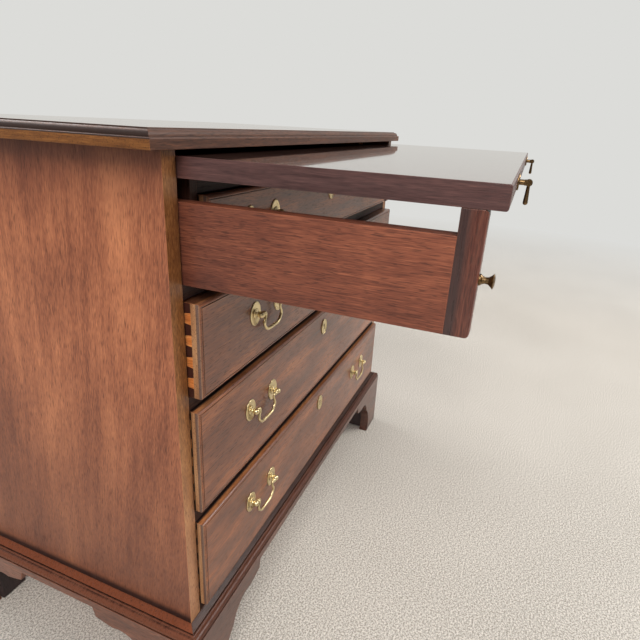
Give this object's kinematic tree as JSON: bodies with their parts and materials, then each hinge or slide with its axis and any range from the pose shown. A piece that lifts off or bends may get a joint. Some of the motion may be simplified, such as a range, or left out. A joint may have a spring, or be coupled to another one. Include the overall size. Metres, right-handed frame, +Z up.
{
  "type": "chest of drawers",
  "caption": "Small chest of drawers with a moulded top, a pull-out slide on two lopers, graduated drawers with brass bail handles, and bracket feet.",
  "frame": {"origin": "on the floor, under the middle of the whole part's box with the slide and left loper out", "axes": "+X along the chest's width, from its left end to its right; -Y towards the front, where the drawers open; +Z up"},
  "size_m": [0.85, 0.756, 0.7606],
  "materials": {
    "mahogany_case": "polished, upright grain",
    "mahogany_top": "polished, grain along the width",
    "mahogany_rail": "polished",
    "mahogany_front": "polished, mottled grain",
    "oak_inside": "plain, unpolished",
    "mahogany_slide": "high gloss",
    "mahogany_loper": "satin, grain along its length",
    "mahogany_base": "polished, worn arrises",
    "brass": "aged, polished on its high spots",
    "dark_brass": "dark antique"
  },
  "bodies": {
    "case": {"top_board": "mahogany_top", "side_panel_left": "mahogany_case", "side_panel_right": "mahogany_case", "back_panel": "oak_inside", "bottom_board": "oak_inside", "base_rail": "mahogany_rail", "lower_rail": "mahogany_rail", "middle_rail": "mahogany_rail", "upper_rail": "mahogany_rail", "slide_rail": "mahogany_rail", "partitions": "mahogany_rail", "runners": "oak_inside", "stops": "oak_inside", "base_moulding": "mahogany_base", "plinth_front": "mahogany_base", "plinth_sides": "mahogany_base", "foot_blocks": "oak_inside"},
    "slide": {"slide_board": "mahogany_slide", "slide_batten": "oak_inside", "slide_pulls": "dark_brass"},
    "slide_drop_left_body": {"slide_drop_left": "dark_brass"},
    "slide_drop_right_body": {"slide_drop_right": "dark_brass"},
    "loper_left": {"loper_bar_left": "mahogany_loper", "loper_front_left": "mahogany_front", "loper_knob_left": "dark_brass"},
    "loper_right": {"loper_bar_right": "mahogany_loper", "loper_front_right": "mahogany_front", "loper_knob_right": "dark_brass"},
    "lower_drawer": {"lower_drawer_front": "mahogany_front", "lower_drawer_sides": "oak_inside", "lower_drawer_back": "oak_inside", "lower_drawer_bottom": "oak_inside", "lower_drawer_posts": "brass", "lower_drawer_lock": "brass"},
    "lower_bail_left": {"lower_drawer_bail_left": "brass"},
    "lower_bail_right": {"lower_drawer_bail_right": "brass"},
    "middle_drawer": {"middle_drawer_front": "mahogany_front", "middle_drawer_sides": "oak_inside", "middle_drawer_back": "oak_inside", "middle_drawer_bottom": "oak_inside", "middle_drawer_posts": "brass", "middle_drawer_lock": "brass"},
    "middle_bail_left": {"middle_drawer_bail_left": "brass"},
    "middle_bail_right": {"middle_drawer_bail_right": "brass"},
    "upper_drawer": {"upper_drawer_front": "mahogany_front", "upper_drawer_sides": "oak_inside", "upper_drawer_back": "oak_inside", "upper_drawer_bottom": "oak_inside", "upper_drawer_posts": "brass", "upper_drawer_lock": "brass"},
    "upper_bail_left": {"upper_drawer_bail_left": "brass"},
    "upper_bail_right": {"upper_drawer_bail_right": "brass"},
    "top_drawer": {"top_drawer_front": "mahogany_front", "top_drawer_sides": "oak_inside", "top_drawer_back": "oak_inside", "top_drawer_bottom": "oak_inside", "top_drawer_posts": "brass", "top_drawer_lock": "brass"},
    "top_bail_left": {"top_drawer_bail_left": "brass"},
    "top_bail_right": {"top_drawer_bail_right": "brass"}
  },
  "joints": [
    {"name": "slide_travel", "type": "slide", "parent": "case", "child": "slide", "axis": [0, -1, 0], "range_m": [-0.2825, 0]},
    {"name": "loper_left_travel", "type": "slide", "parent": "case", "child": "loper_left", "axis": [0, -1, 0], "range_m": [-0.2695, 0]},
    {"name": "loper_right_travel", "type": "slide", "parent": "case", "child": "loper_right", "axis": [0, -1, 0], "range_m": [0, 0.2695]},
    {"name": "slide_drop_left_swing", "type": "hinge", "parent": "slide", "child": "slide_drop_left_body", "pos_m": [-0.23, -0.37455, 0.7267], "axis": [-1, 0, 0], "range_deg": [-5, 85]},
    {"name": "slide_drop_right_swing", "type": "hinge", "parent": "slide", "child": "slide_drop_right_body", "pos_m": [0.23, -0.37455, 0.7267], "axis": [-1, 0, 0], "range_deg": [-5, 85]},
    {"name": "lower_drawer_travel", "type": "slide", "parent": "case", "child": "lower_drawer", "axis": [0, -1, 0], "range_m": [0, 0.3]},
    {"name": "lower_bail_left_swing", "type": "hinge", "parent": "lower_drawer", "child": "lower_bail_left", "pos_m": [-0.2313, -0.09055, 0.2477], "axis": [-1, 0, 0], "range_deg": [-6, 80]},
    {"name": "lower_bail_right_swing", "type": "hinge", "parent": "lower_drawer", "child": "lower_bail_right", "pos_m": [0.2313, -0.09055, 0.2477], "axis": [-1, 0, 0], "range_deg": [-6, 80]},
    {"name": "middle_drawer_travel", "type": "slide", "parent": "case", "child": "middle_drawer", "axis": [0, -1, 0], "range_m": [0, 0.3]},
    {"name": "middle_bail_left_swing", "type": "hinge", "parent": "middle_drawer", "child": "middle_bail_left", "pos_m": [-0.2313, -0.09055, 0.4045], "axis": [-1, 0, 0], "range_deg": [-6, 80]},
    {"name": "middle_bail_right_swing", "type": "hinge", "parent": "middle_drawer", "child": "middle_bail_right", "pos_m": [0.2313, -0.09055, 0.4045], "axis": [-1, 0, 0], "range_deg": [-6, 80]},
    {"name": "upper_drawer_travel", "type": "slide", "parent": "case", "child": "upper_drawer", "axis": [0, -1, 0], "range_m": [-0.0071, 0.2929]},
    {"name": "upper_bail_left_swing", "type": "hinge", "parent": "upper_drawer", "child": "upper_bail_left", "pos_m": [-0.2313, -0.09765, 0.5463], "axis": [-1, 0, 0], "range_deg": [-6, 80]},
    {"name": "upper_bail_right_swing", "type": "hinge", "parent": "upper_drawer", "child": "upper_bail_right", "pos_m": [0.2313, -0.09765, 0.5463], "axis": [-1, 0, 0], "range_deg": [-6, 80]},
    {"name": "top_drawer_travel", "type": "slide", "parent": "case", "child": "top_drawer", "axis": [0, -1, 0], "range_m": [0, 0.3]},
    {"name": "top_bail_left_swing", "type": "hinge", "parent": "top_drawer", "child": "top_bail_left", "pos_m": [-0.2313, -0.09055, 0.6633], "axis": [-1, 0, 0], "range_deg": [-6, 80]},
    {"name": "top_bail_right_swing", "type": "hinge", "parent": "top_drawer", "child": "top_bail_right", "pos_m": [0.2313, -0.09055, 0.6633], "axis": [-1, 0, 0], "range_deg": [-6, 80]}
  ]
}
